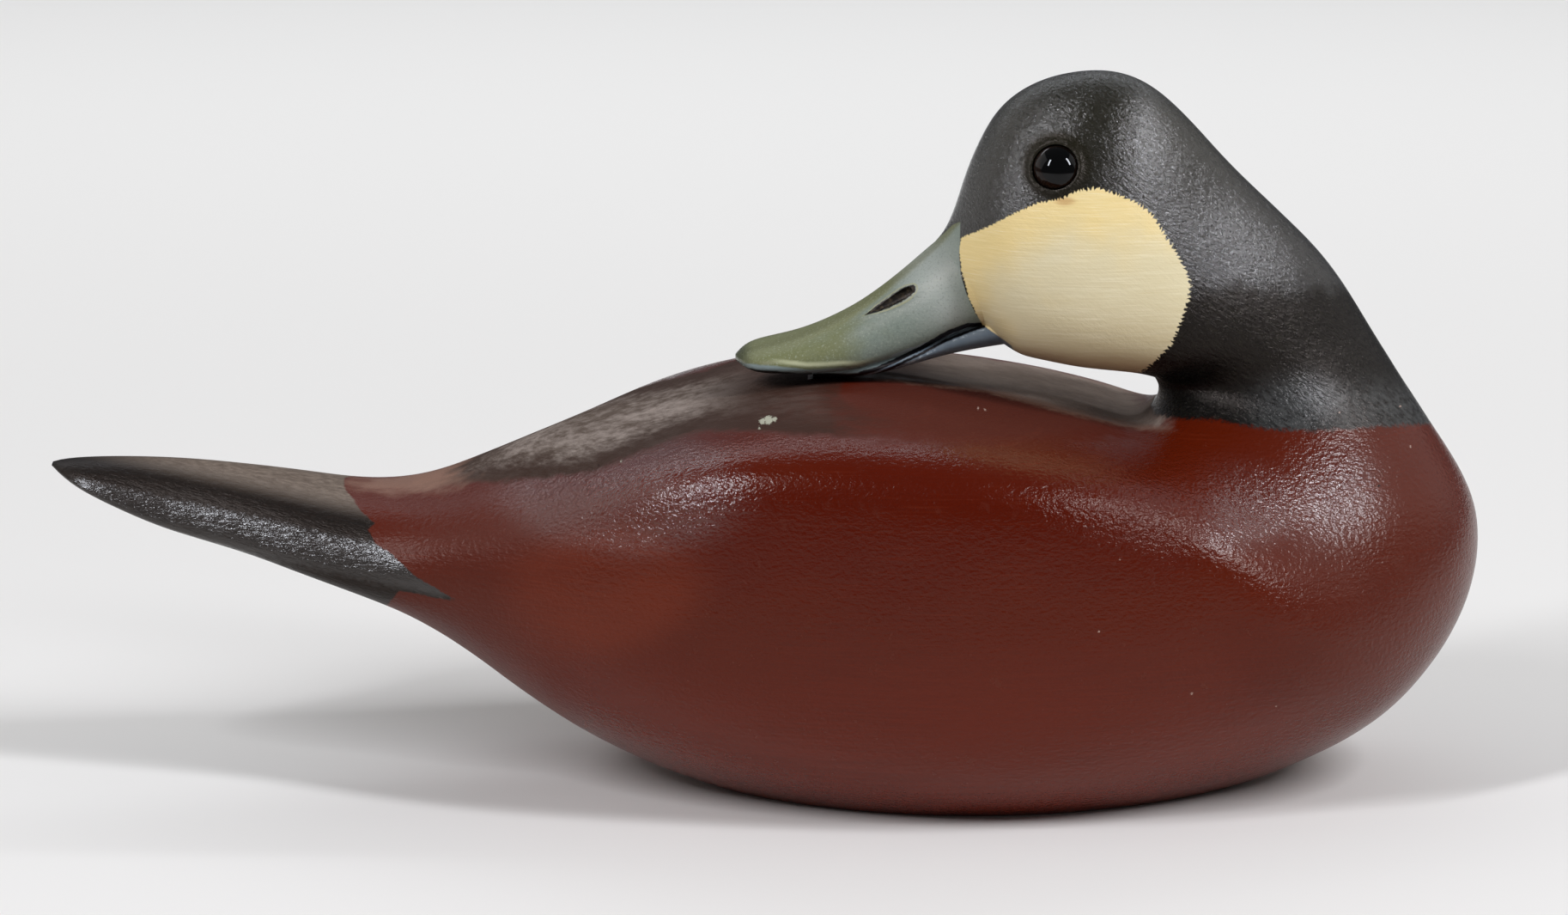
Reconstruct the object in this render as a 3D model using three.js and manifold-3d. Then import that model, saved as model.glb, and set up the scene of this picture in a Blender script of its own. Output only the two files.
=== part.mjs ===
// A painted wooden duck decoy that rests its bill on its own back, with two glass eyes.
// Millimetres. +X runs to the chest, +Z up, and the duck is symmetric about Y = 0. Its head is turned
// right round, so the bill lies along the back and points to the tail.
import * as THREE from 'three';
import { mergeVertices } from 'three/addons/utils/BufferGeometryUtils.js';
import Module from 'manifold-3d';

const wasm = await Module();
wasm.setup();

// The skin is a row of sections, from the tail tip over the back and round the neck to the bill's root.
// Each section reaches from a point on the inner line (back, then throat) to a point on the outer line
// (belly, chest, nape, crown). widest shifts the widest place from the middle, as a part of the section's
// height. inner and outer are how square the section is beside those two points.
const SKIN = [
  { name: 'tail tip', from: [-149, 66.1], to: [-149.2, 65.5], half: 1, widest: 0, inner: 0, outer: 0 },
  { name: 'tail end', from: [-142, 66.9], to: [-142.5, 61.9], half: 8, widest: .38, inner: .15, outer: 0 },
  { name: 'tail blade', from: [-124, 66.9], to: [-126, 56], half: 12.6, widest: .45, inner: .3, outer: 0 },
  { name: 'tail', from: [-104, 64.6], to: [-107, 49.2], half: 17.8, widest: .27, inner: .35, outer: 0 },
  { name: 'tail root', from: [-84, 61.8], to: [-87, 41.2], half: 24, widest: .17, inner: .3, outer: 0 },
  { name: 'rump', from: [-66, 63.9], to: [-67, 30.1], half: 30, widest: -.05, inner: .1, outer: 0 },
  { name: 'hips', from: [-46, 71.5], to: [-45, 14.8], half: 42, widest: -.08, inner: .15, outer: 0.1 },
  { name: 'flank end', from: [-22, 77.8], to: [-20, 2], half: 55, widest: -.185, inner: .52, outer: 0.2 },
  { name: 'back', from: [12, 84.6], to: [14, -7], half: 62.5, widest: -.165, inner: .53, outer: 0.3 },
  { name: 'shoulders', from: [46, 81.8], to: [50, -8.8], half: 64.5, widest: -.175, inner: .54, outer: 0.35 },
  { name: 'wing bend', from: [66, 77.8], to: [84, -5.2], half: 61.5, widest: -.185, inner: .56, outer: 0.2 },
  { name: 'breast', from: [76, 75.2], to: [112, 3], half: 57, widest: -.195, inner: .48, outer: 0.1 },
  { name: 'low chest', from: [80.4, 76.4], to: [133, 16], half: 53, widest: -0.12, inner: 0.25, outer: 0.1 },
  { name: 'chest', from: [82, 78.4], to: [146.2, 34.4], half: 42, widest: -0.08, inner: 0.15, outer: 0.1 },
  { name: 'high chest', from: [82.6, 80.6], to: [149.2, 56], half: 31, widest: -0.03, inner: 0.1, outer: 0.1 },
  { name: 'neck base', from: [82.6, 82.6], to: [139.8, 74.2], half: 22, widest: 0, inner: 0.1, outer: -.15 },
  { name: 'neck', from: [82, 84], to: [128.6, 91.8], half: 17.8, widest: 0, inner: 0.1, outer: -.3 },
  { name: 'high neck', from: [80.8, 85.4], to: [115.4, 111], half: 20, widest: -.13, inner: 0.1, outer: -.15 },
  { name: 'nape', from: [77.5, 86.4], to: [97.4, 128.8], half: 21.5, widest: -.17, inner: 0.2, outer: -.2 },
  { name: 'head', from: [71.5, 87], to: [81.6, 144.8], half: 22.5, widest: -.18, inner: 0.2, outer: -.12 },
  { name: 'crown', from: [64.5, 87.8], to: [66.4, 148.8], half: 22.5, widest: -.18, inner: 0.2, outer: 0 },
  { name: 'brow', from: [58, 89], to: [51.2, 143], half: 20.5, widest: -.18, inner: 0.2, outer: -.05 },
  { name: 'lores', from: [53.6, 90], to: [43, 130], half: 17.5, widest: -.16, inner: 0.2, outer: -.05 },
  { name: 'bill root', from: [50.6, 91.4], to: [38.8, 118], half: 12.5, widest: -.08, inner: 0.2, outer: 0 },
  { name: 'bill core', from: [47, 93.6], to: [35.6, 113], half: 7.5, widest: 0, inner: 0.2, outer: 0 },
];

// The upper bill from its tip to its root, each section from the ridge down to the lower edge.
const UPPER_BILL = [
  { name: 'tip', from: [-6, 89.2], to: [-6, 88], half: 1.5, widest: 0, inner: 0, outer: 0 },
  { name: 'nail', from: [-2.5, 91.4], to: [-2, 86.5], half: 9.5, widest: 0.1, inner: 0.2, outer: 0.2 },
  { name: 'spoon', from: [5, 93.4], to: [6.5, 86.3], half: 12, widest: 0.14, inner: 0.2, outer: 0.3 },
  { name: 'middle', from: [15, 97.6], to: [18.5, 86.9], half: 11, widest: 0.16, inner: 0.1, outer: 0.3 },
  { name: 'nostril', from: [26.5, 105.2], to: [32.5, 91.2], half: 10.5, widest: 0.16, inner: 0, outer: 0.3 },
  { name: 'base', from: [37.5, 114.4], to: [46, 96.6], half: 10.5, widest: 0.15, inner: -0.1, outer: 0.3 },
  { name: 'root', from: [47, 119], to: [58, 99.5], half: 9.5, widest: 0.15, inner: -0.1, outer: 0.3 },
];

// The lower bill from its end to its root, which shows as a wedge under the mouth line.
const LOWER_BILL = [
  { name: 'end', from: [10, 88.5], to: [10, 84.4], half: 6, widest: 0, inner: 0.2, outer: 0 },
  { name: 'front', from: [22, 89.5], to: [22.5, 85.4], half: 9, widest: 0, inner: 0.2, outer: 0 },
  { name: 'middle', from: [35, 94], to: [36, 89], half: 9, widest: 0, inner: 0.2, outer: 0 },
  { name: 'base', from: [47, 98.5], to: [48, 91.4], half: 9, widest: 0, inner: 0.2, outer: 0 },
  { name: 'root', from: [58, 101], to: [58, 92.6], half: 8, widest: 0, inner: 0.2, outer: 0 },
];

// Facets: the longest step along the skin and the sides of a section.
const SKIN_STEP = 7;
const SKIN_SIDES = 40;
const BILL_STEP = 3.6;
const BILL_SIDES = 24;
const PATH_SAMPLES = 2400;

// Edges shorter than this, which joins and cuts leave behind, are closed up.
const TIDY = 0.02;

// A glass eye is a flat-backed lens, set in a round socket with a soft lid ring round it.
const EYE_RADIUS = 4.5;
const EYE_RISE = 2.3;
const EYE_DEPTH = 2.2;
const EYE_CENTRE = [59.7, 16.2, 131.3];
const EYE_YAW = 13;
const EYE_PITCH = 20;
const SOCKET_GAP = 0.3;
const LID_RADIUS = 5.2;
const LID_THICKNESS = 0.7;

// Each nostril is a long shallow hollow in the side of the upper bill.
const NOSTRIL_LENGTH = 10.8;
const NOSTRIL_HEIGHT = 3.2;
const NOSTRIL_DEPTH = 1.5;
const NOSTRIL_CENTRE = [26, 7.2, 101.6];
const NOSTRIL_SLOPE = 27;
const NOSTRIL_TILT = 38;

const wood = new THREE.MeshStandardMaterial({ color: 0x6b2418, roughness: 0.4, metalness: 0 });
const glass = new THREE.MeshStandardMaterial({ color: 0x0a0605, roughness: 0.05, metalness: 0 });

// A smooth curve (natural cubic spline) through values at 0, 1, 2, ...; returns a function of t.
function smoothCurve(values) {
  const last = values.length - 1;
  const bend = values.map(() => 0);
  const ratio = values.map(() => 0);
  for (let i = 1; i < last; i++) {
    const pivot = 4 - ratio[i - 1];
    const turn = 6 * (values[i - 1] - 2 * values[i] + values[i + 1]);
    ratio[i] = 1 / pivot;
    bend[i] = (turn - bend[i - 1]) / pivot;
  }
  for (let i = last - 1; i > 0; i--) {
    bend[i] -= ratio[i] * bend[i + 1];
  }
  return (t) => {
    const i = Math.min(Math.floor(t), last - 1);
    const after = t - i;
    const before = 1 - after;
    const straight = before * values[i] + after * values[i + 1];
    return straight + ((before ** 3 - before) * bend[i] + (after ** 3 - after) * bend[i + 1]) / 6;
  };
}

// The section at t as a smooth blend of the sections in the row.
function sectionCurves(sections) {
  const curve = (read) => smoothCurve(sections.map(read));
  const fromX = curve((s) => s.from[0]);
  const fromZ = curve((s) => s.from[1]);
  const toX = curve((s) => s.to[0]);
  const toZ = curve((s) => s.to[1]);
  const half = curve((s) => s.half);
  const widest = curve((s) => s.widest);
  const inner = curve((s) => s.inner);
  const outer = curve((s) => s.outer);
  return (t) => ({
    from: new THREE.Vector2(fromX(t), fromZ(t)),
    to: new THREE.Vector2(toX(t), toZ(t)),
    half: half(t),
    widest: widest(t),
    inner: inner(t),
    outer: outer(t),
  });
}

// Places along the row that are about one step apart on the longer of the inner and outer lines.
function evenPlaces(sectionAt, count, step) {
  const end = count - 1;
  const travel = [0];
  let last = sectionAt(0);
  for (let i = 1; i <= PATH_SAMPLES; i++) {
    const next = sectionAt((end * i) / PATH_SAMPLES);
    travel.push(travel[i - 1] + Math.max(next.from.distanceTo(last.from), next.to.distanceTo(last.to)));
    last = next;
  }
  const rings = Math.ceil(travel[PATH_SAMPLES] / step);
  const places = [];
  let i = 0;
  for (let ring = 0; ring <= rings; ring++) {
    const wanted = (travel[PATH_SAMPLES] * ring) / rings;
    while (i < PATH_SAMPLES - 1 && travel[i + 1] < wanted) {
      i++;
    }
    const part = (wanted - travel[i]) / (travel[i + 1] - travel[i]);
    places.push((end * (i + part)) / PATH_SAMPLES);
  }
  return places;
}

// One section's ring of points. angle 0 is the inner point and half a turn is the outer one.
function sectionRing(section, sides) {
  const ring = [];
  for (let side = 0; side < sides; side++) {
    const angle = (2 * Math.PI * side) / sides;
    const towards = Math.cos(angle);
    const across = Math.sin(angle);
    const square = (section.inner * (1 + towards) + section.outer * (1 - towards)) / 2;
    const reach = (1 - towards) / 2 + section.widest * across ** 2;
    const place = section.from.clone().lerp(section.to, reach);
    const sideways = -section.half * across * (1 + square * towards ** 2);
    ring.push(new THREE.Vector3(place.x, sideways, place.y));
  }
  return ring;
}

// A closed skin over a row of sections, with a flat cap at each end.
function skinGeometry(sections, step, sides) {
  const sectionAt = sectionCurves(sections);
  const places = evenPlaces(sectionAt, sections.length, step);
  const points = places.flatMap((t) => sectionRing(sectionAt(t), sides));
  const faces = [];
  for (let ring = 0; ring < places.length - 1; ring++) {
    for (let side = 0; side < sides; side++) {
      const here = ring * sides + side;
      const beside = ring * sides + ((side + 1) % sides);
      faces.push(here, beside, beside + sides, here, beside + sides, here + sides);
    }
  }
  const caps = [0, (places.length - 1) * sides];
  caps.forEach((start, end) => {
    const middle = new THREE.Vector3();
    for (let side = 0; side < sides; side++) {
      middle.addScaledVector(points[start + side], 1 / sides);
    }
    points.push(middle);
    for (let side = 0; side < sides; side++) {
      const here = start + side;
      const beside = start + ((side + 1) % sides);
      faces.push(points.length - 1, end ? here : beside, end ? beside : here);
    }
  });
  const geometry = new THREE.BufferGeometry().setFromPoints(points);
  geometry.setIndex(faces);
  return geometry;
}

// A closed geometry as a solid that can be joined and cut.
function solid(geometry) {
  const bare = geometry.clone();
  bare.deleteAttribute('normal');
  bare.deleteAttribute('uv');
  const merged = mergeVertices(bare, 1e-5);
  const vertProperties = new Float32Array(merged.attributes.position.array);
  const triVerts = new Uint32Array(merged.index.array);
  return new wasm.Manifold(new wasm.Mesh({ numProp: 3, vertProperties, triVerts }));
}

// A solid back as a geometry for a mesh.
function geometryOf(body) {
  const mesh = body.getMesh();
  const geometry = new THREE.BufferGeometry();
  geometry.setAttribute('position', new THREE.BufferAttribute(mesh.vertProperties, 3));
  geometry.setIndex(new THREE.BufferAttribute(mesh.triVerts, 1));
  geometry.computeVertexNormals();
  return geometry;
}

// A place on the head's side, side -1 for the left eye and 1 for the right, with Z out of the head.
function eyePlace(side) {
  const pitch = THREE.MathUtils.degToRad(EYE_PITCH);
  const yaw = THREE.MathUtils.degToRad(EYE_YAW);
  const out = new THREE.Vector3(
    -Math.sin(yaw) * Math.cos(pitch),
    side * Math.cos(yaw) * Math.cos(pitch),
    Math.sin(pitch),
  );
  const turn = new THREE.Quaternion().setFromUnitVectors(new THREE.Vector3(0, 0, 1), out);
  const centre = new THREE.Vector3(EYE_CENTRE[0], side * EYE_CENTRE[1], EYE_CENTRE[2]);
  return new THREE.Matrix4().compose(centre, turn, new THREE.Vector3(1, 1, 1));
}

// The lens turned about Z, with its rim at Z = 0 and its flat back below.
function eyeGeometry() {
  const dome = (EYE_RADIUS ** 2 + EYE_RISE ** 2) / (2 * EYE_RISE);
  const widest = Math.asin(EYE_RADIUS / dome);
  const profile = [new THREE.Vector2(0, -EYE_DEPTH), new THREE.Vector2(EYE_RADIUS, -EYE_DEPTH)];
  const steps = 6;
  for (let i = 0; i <= steps; i++) {
    const angle = widest * (1 - i / steps);
    const out = i === steps ? 0 : dome * Math.sin(angle);
    profile.push(new THREE.Vector2(out, EYE_RISE - dome + dome * Math.cos(angle)));
  }
  const geometry = new THREE.LatheGeometry(profile, 24);
  return geometry.rotateX(Math.PI / 2);
}

function lidGeometry(side) {
  return new THREE.TorusGeometry(LID_RADIUS, LID_THICKNESS, 6, 28).applyMatrix4(eyePlace(side));
}

function socketGeometry(side) {
  const radius = EYE_RADIUS + SOCKET_GAP;
  const floor = -EYE_DEPTH - SOCKET_GAP;
  const mouth = EYE_RISE + LID_THICKNESS;
  const hole = new THREE.CylinderGeometry(radius, radius, mouth - floor, 28);
  hole.rotateX(Math.PI / 2).translate(0, 0, (mouth + floor) / 2);
  return hole.applyMatrix4(eyePlace(side));
}

function nostrilGeometry(side) {
  const hollow = new THREE.SphereGeometry(0.5, 16, 10);
  hollow.scale(NOSTRIL_LENGTH, 2 * NOSTRIL_DEPTH, NOSTRIL_HEIGHT);
  hollow.rotateX(side * THREE.MathUtils.degToRad(NOSTRIL_TILT));
  hollow.rotateY(-THREE.MathUtils.degToRad(NOSTRIL_SLOPE));
  return hollow.translate(NOSTRIL_CENTRE[0], side * NOSTRIL_CENTRE[1], NOSTRIL_CENTRE[2]);
}

// Everything below the ground plane, which leaves the body its flat foot.
function belowGround() {
  const size = 400;
  return new THREE.BoxGeometry(size, size, size).translate(0, 0, -size / 2);
}

function carvingSolid() {
  let body = solid(skinGeometry(SKIN, SKIN_STEP, SKIN_SIDES));
  body = body.add(solid(skinGeometry(UPPER_BILL, BILL_STEP, BILL_SIDES)));
  body = body.add(solid(skinGeometry(LOWER_BILL, BILL_STEP, BILL_SIDES)));
  for (const side of [-1, 1]) {
    body = body.add(solid(lidGeometry(side)));
    body = body.subtract(solid(socketGeometry(side)));
    body = body.subtract(solid(nostrilGeometry(side)));
  }
  return body.subtract(solid(belowGround())).simplify(TIDY);
}

const duck = new THREE.Group();

const carving = new THREE.Mesh(geometryOf(carvingSolid()), wood);
carving.name = 'carving';
duck.add(carving);

for (const [name, side] of [['eye_left', -1], ['eye_right', 1]]) {
  const eye = new THREE.Mesh(geometryOf(solid(eyeGeometry())), glass);
  eye.name = name;
  eye.applyMatrix4(eyePlace(side));
  duck.add(eye);
}

// The origin is on the ground under the middle of the duck's length.
carving.geometry.computeBoundingBox();
const { min, max } = carving.geometry.boundingBox;
duck.position.x = -(min.x + max.x) / 2;

export default duck;
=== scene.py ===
"""Looks for the painted duck decoy: a finer skin than the solid's, paint, glass eyes, floor and lights."""
import math

import bmesh
import bpy
import numpy as np
from mathutils import Matrix, Vector, kdtree, noise


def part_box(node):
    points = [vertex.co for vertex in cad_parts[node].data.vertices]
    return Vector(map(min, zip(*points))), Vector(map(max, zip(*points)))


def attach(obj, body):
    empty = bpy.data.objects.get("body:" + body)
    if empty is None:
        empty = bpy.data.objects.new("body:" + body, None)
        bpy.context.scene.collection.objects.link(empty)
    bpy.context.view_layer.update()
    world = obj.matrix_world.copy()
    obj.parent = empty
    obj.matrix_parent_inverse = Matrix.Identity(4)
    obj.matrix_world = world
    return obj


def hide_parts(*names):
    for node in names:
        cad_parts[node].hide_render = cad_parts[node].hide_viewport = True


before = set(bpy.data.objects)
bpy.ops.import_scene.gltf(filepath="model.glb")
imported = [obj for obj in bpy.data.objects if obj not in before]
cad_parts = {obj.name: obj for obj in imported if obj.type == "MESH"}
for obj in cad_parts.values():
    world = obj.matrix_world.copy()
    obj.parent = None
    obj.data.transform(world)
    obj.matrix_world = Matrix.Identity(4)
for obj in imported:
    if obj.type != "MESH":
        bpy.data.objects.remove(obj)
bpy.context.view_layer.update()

MM = 0.001

# The part's own sections, in millimetres: inner x and z, outer x and z, half the width, where it is widest,
# and how square it is on its inner and outer side.
SKIN = (
    (-149, 66.1, -149.2, 65.5, 1, 0, 0, 0),
    (-142, 66.9, -142.5, 61.9, 8, 0.38, 0.15, 0),
    (-124, 66.9, -126, 56, 12.6, 0.45, 0.3, 0),
    (-104, 64.6, -107, 49.2, 17.8, 0.27, 0.35, 0),
    (-84, 61.8, -87, 41.2, 24, 0.17, 0.3, 0),
    (-66, 63.9, -67, 30.1, 30, -0.05, 0.1, 0),
    (-46, 71.5, -45, 14.8, 42, -0.08, 0.15, 0.1),
    (-22, 77.8, -20, 2, 55, -0.185, 0.52, 0.2),
    (12, 84.6, 14, -7, 62.5, -0.165, 0.53, 0.3),
    (46, 81.8, 50, -8.8, 64.5, -0.175, 0.54, 0.35),
    (66, 77.8, 84, -5.2, 61.5, -0.185, 0.56, 0.2),
    (76, 75.2, 112, 3, 57, -0.195, 0.48, 0.1),
    (80.4, 76.4, 133, 16, 53, -0.12, 0.25, 0.1),
    (82, 78.4, 146.2, 34.4, 42, -0.08, 0.15, 0.1),
    (82.6, 80.6, 149.2, 56, 31, -0.03, 0.1, 0.1),
    (82.6, 82.6, 139.8, 74.2, 22, 0, 0.1, -0.15),
    (82, 84, 128.6, 91.8, 17.8, 0, 0.1, -0.3),
    (80.8, 85.4, 115.4, 111, 20, -0.13, 0.1, -0.15),
    (77.5, 86.4, 97.4, 128.8, 21.5, -0.17, 0.2, -0.2),
    (71.5, 87, 81.6, 144.8, 22.5, -0.18, 0.2, -0.12),
    (64.5, 87.8, 66.4, 148.8, 22.5, -0.18, 0.2, 0),
    (58, 89, 51.2, 143, 20.5, -0.18, 0.2, -0.05),
    (53.6, 90, 43, 130, 17.5, -0.16, 0.2, -0.05),
    (50.6, 91.4, 38.8, 118, 12.5, -0.08, 0.2, 0),
    (47, 93.6, 35.6, 113, 7.5, 0, 0.2, 0),
)
UPPER_BILL = (
    (-6, 89.2, -6, 88, 1.5, 0, 0, 0),
    (-2.5, 91.4, -2, 86.5, 9.5, 0.1, 0.2, 0.2),
    (5, 93.4, 6.5, 86.3, 12, 0.14, 0.2, 0.3),
    (15, 97.6, 18.5, 86.9, 11, 0.16, 0.1, 0.3),
    (26.5, 105.2, 32.5, 91.2, 10.5, 0.16, 0, 0.3),
    (37.5, 114.4, 46, 96.6, 10.5, 0.15, -0.1, 0.3),
    (47, 119, 58, 99.5, 9.5, 0.15, -0.1, 0.3),
)
LOWER_BILL = (
    (10, 88.5, 10, 84.4, 6, 0, 0.2, 0),
    (22, 89.5, 22.5, 85.4, 9, 0, 0.2, 0),
    (35, 94, 36, 89, 9, 0, 0.2, 0),
    (47, 98.5, 48, 91.4, 9, 0, 0.2, 0),
    (58, 101, 58, 92.6, 8, 0, 0.2, 0),
)

# Fineness: sides of a section, and the step between rings on the body, the tail root and the head.
SKIN_SIDES = 192
BODY_STEP = 1.8
TAIL_STEP = 1.0
HEAD_STEP = 0.95
TAIL_ROWS = (3.2, 6.2)
HEAD_ROW = 15.5
BILL_SIDES = 88
BILL_STEP = 0.65
PATH_SAMPLES = 6000

# How far the box under the foot reaches, and from which angle an edge is sharp.
CUT_REACH = 400
SHARP_ANGLE = math.radians(50)

# How high the broad and the fine waves are that the knife and rasp leave.
BROAD_WAVE = 0.28
FINE_WAVE = 0.1

EYE_RADIUS = 4.5
EYE_RISE = 2.3
EYE_DEPTH = 2.2
EYE_BEVEL = 0.3
EYE_SIDES = 72
EYE_RINGS = 24
EYE_CENTRE = (59.7, 16.2, 131.3)
EYE_YAW = 13
EYE_PITCH = 20
PUPIL_SHIFT = (0.5, 0.5)
PUPIL_RADIUS = 3.4
PUPIL_EDGE = 3.9
SOCKET_GAP = 0.3
SOCKET_CLEAR = 1
LID_RADIUS = 5.3
LID_WIDTH = 0.62
LID_HEIGHT = 0.42
LID_REACH = 6
EYE_REFINED = 9

NOSTRIL_LENGTH = 10.8
NOSTRIL_HEIGHT = 3.2
NOSTRIL_DEPTH = 1.5
NOSTRIL_CENTRE = (26, 7.2, 101.6)
NOSTRIL_SLOPE = 27
NOSTRIL_TILT = 38
NOSTRIL_MIDDLE = 0.72
NOSTRIL_TAPER = 0.56
NOSTRIL_ENDS = 0.48
NOSTRIL_REFINED = 6.5
RIM_HEIGHT = 0.3
RIM_TAPER = 0.5
RIM_PLACE = 1.25
RIM_WIDTH = 0.35
RIM_REACH = 5

# The side picture: the photograph's pixels, which show the duck's left side from a little above.
PICTURE_WIDTH = 1826
PICTURE_CENTRE = (913, 532.5)
PICTURE_SCALE = 0.18
PICTURE_TARGET = (4.14, 0, 67.1)
CAMERA_DEGREES = 12
CAMERA_DISTANCE = 1300
SENSOR = 36

FLOOR_REACH = 5.0
WORLD_COLOUR = (0.9, 0.93, 1, 1)
WORLD_STRENGTH = 0.13

# A field's value where its paint can't be, and the largest value that a field holds.
NOT_HERE = -200
FIELD_LIMIT = 2000


def natural_cubic(values):
    """A smooth curve through rows of values at 0, 1, 2, ...; returns a function of an array of places."""
    values = np.asarray(values, float)
    count = len(values)
    system = np.zeros((count, count))
    wanted = np.zeros_like(values)
    system[0, 0] = 1
    system[-1, -1] = 1
    for i in range(1, count - 1):
        system[i, i - 1:i + 2] = (1, 4, 1)
        wanted[i] = 6 * (values[i - 1] - 2 * values[i] + values[i + 1])
    bend = np.linalg.solve(system, wanted)

    def at(places):
        i = np.clip(np.floor(places).astype(int), 0, count - 2)
        after = (places - i)[:, None]
        before = 1 - after
        straight = before * values[i] + after * values[i + 1]
        return straight + ((before**3 - before) * bend[i] + (after**3 - after) * bend[i + 1]) / 6

    return at


def even_places(rows, step_at):
    """Places along the rows, one step apart on the longer of the inner and outer lines."""
    fine = np.linspace(0, len(rows) - 1, PATH_SAMPLES)
    curve = natural_cubic(rows)(fine)
    inner = np.linalg.norm(np.diff(curve[:, 0:2], axis=0), axis=1)
    outer = np.linalg.norm(np.diff(curve[:, 2:4], axis=0), axis=1)
    steps = np.maximum(inner, outer) / step_at((fine[1:] + fine[:-1]) / 2)
    travel = np.concatenate([[0], np.cumsum(steps)])
    rings = math.ceil(travel[-1])
    return np.interp(np.linspace(0, travel[-1], rings + 1), travel, fine)


def loft(rows, places, sides):
    """The skin over the sections as a grid of points, one row a ring."""
    curve = natural_cubic(rows)(places)
    angle = np.arange(sides) * 2 * np.pi / sides
    towards = np.cos(angle)[None, :]
    across = np.sin(angle)[None, :]
    square = (curve[:, 6:7] * (1 + towards) + curve[:, 7:8] * (1 - towards)) / 2
    reach = (1 - towards) / 2 + curve[:, 5:6] * across**2
    points = np.empty((len(places), sides, 3))
    points[:, :, 0] = curve[:, 0:1] + (curve[:, 2:3] - curve[:, 0:1]) * reach
    points[:, :, 1] = -curve[:, 4:5] * across * (1 + square * towards**2)
    points[:, :, 2] = curve[:, 1:2] + (curve[:, 3:4] - curve[:, 1:2]) * reach
    return points


def new_object(name, mesh):
    made = bpy.data.objects.new(name, mesh)
    bpy.context.scene.collection.objects.link(made)
    return made


def grid_object(name, points):
    """A closed skin from a grid of points, with a fan of triangles over each end."""
    rings, sides = points.shape[:2]
    verts = [tuple(p) for p in points.reshape(-1, 3)]
    faces = []
    for ring in range(rings - 1):
        for side in range(sides):
            here = ring * sides + side
            beside = ring * sides + (side + 1) % sides
            faces.append((here, beside, beside + sides, here + sides))
    for start, is_end in ((0, False), ((rings - 1) * sides, True)):
        verts.append(tuple(points.reshape(-1, 3)[start:start + sides].mean(axis=0)))
        for side in range(sides):
            here = start + side
            beside = start + (side + 1) % sides
            faces.append((len(verts) - 1, here, beside) if is_end else (len(verts) - 1, beside, here))
    mesh = bpy.data.meshes.new(name)
    mesh.from_pydata(verts, [], faces)
    mesh.update()
    return new_object(name, mesh)


def combine(target, other, operation):
    """Joins other to target or cuts it out, and drops other."""
    modifier = target.modifiers.new("combine", "BOOLEAN")
    modifier.solver = "MANIFOLD"
    modifier.operation = operation
    modifier.object = other
    shown = target.evaluated_get(bpy.context.evaluated_depsgraph_get())
    mesh = bpy.data.meshes.new_from_object(shown)
    target.modifiers.clear()
    old = target.data
    target.data = mesh
    bpy.data.meshes.remove(old)
    gone = other.data
    bpy.data.objects.remove(other)
    bpy.data.meshes.remove(gone)


def read_points(mesh):
    points = np.empty(len(mesh.vertices) * 3, np.float32)
    mesh.vertices.foreach_get("co", points)
    return points.reshape(-1, 3).astype(float)


def write_points(mesh, points):
    mesh.vertices.foreach_set("co", points.astype(np.float32).ravel())
    mesh.update()


def read_normals(mesh):
    normals = np.empty(len(mesh.vertices) * 3, np.float32)
    mesh.vertex_normals.foreach_get("vector", normals)
    return normals.reshape(-1, 3).astype(float)


def eye_place(side):
    """Where an eye sits: side -1 is the left eye and 1 the right, with Z out of the head."""
    pitch = math.radians(EYE_PITCH)
    yaw = math.radians(EYE_YAW)
    level = math.cos(pitch)
    out = Vector((-math.sin(yaw) * level, side * math.cos(yaw) * level, math.sin(pitch)))
    turn = Vector((0, 0, 1)).rotation_difference(out).to_matrix().to_4x4()
    return Matrix.Translation((EYE_CENTRE[0], side * EYE_CENTRE[1], EYE_CENTRE[2])) @ turn


def nostril_place(side):
    """Where a nostril's hollow lies, with X along it and Y out of the bill."""
    slope = Matrix.Rotation(-math.radians(NOSTRIL_SLOPE), 4, "Y")
    tilt = Matrix.Rotation(side * math.radians(NOSTRIL_TILT), 4, "X")
    centre = Matrix.Translation((NOSTRIL_CENTRE[0], side * NOSTRIL_CENTRE[1], NOSTRIL_CENTRE[2]))
    return centre @ slope @ tilt


def seen_from(place, points):
    """Points in the place's own axes."""
    back = np.array(place.inverted())
    return points @ back[:3, :3].T + back[:3, 3]


def refine_near(made, centres, radius):
    """Splits the faces that lie near the centres, for features finer than the grid."""
    grid = bmesh.new()
    grid.from_mesh(made.data)
    edges = []
    for edge in grid.edges:
        middle = (edge.verts[0].co + edge.verts[1].co) / 2
        if any((middle - centre).length < radius for centre in centres):
            edges.append(edge)
    bmesh.ops.subdivide_edges(grid, edges=edges, cuts=1, use_grid_fill=True)
    grid.to_mesh(made.data)
    grid.free()


def cylinder_object(place, radius, low, high):
    grid = bmesh.new()
    bmesh.ops.create_cone(
        grid, cap_ends=True, segments=EYE_SIDES, radius1=radius, radius2=radius, depth=high - low,
        matrix=place @ Matrix.Translation((0, 0, (low + high) / 2)),
    )
    mesh = bpy.data.meshes.new("cylinder")
    grid.to_mesh(mesh)
    grid.free()
    return new_object("cylinder", mesh)


def nostril_width(along):
    """The nostril's height as a part of its greatest, from its tip at -0.5 to its blunt end at 0.5."""
    rounded = np.clip(1 - (2 * along) ** 2, 0, 1)
    return (NOSTRIL_MIDDLE + NOSTRIL_TAPER * along) * rounded ** np.where(along > 0, 0.2, 0.5)


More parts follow.
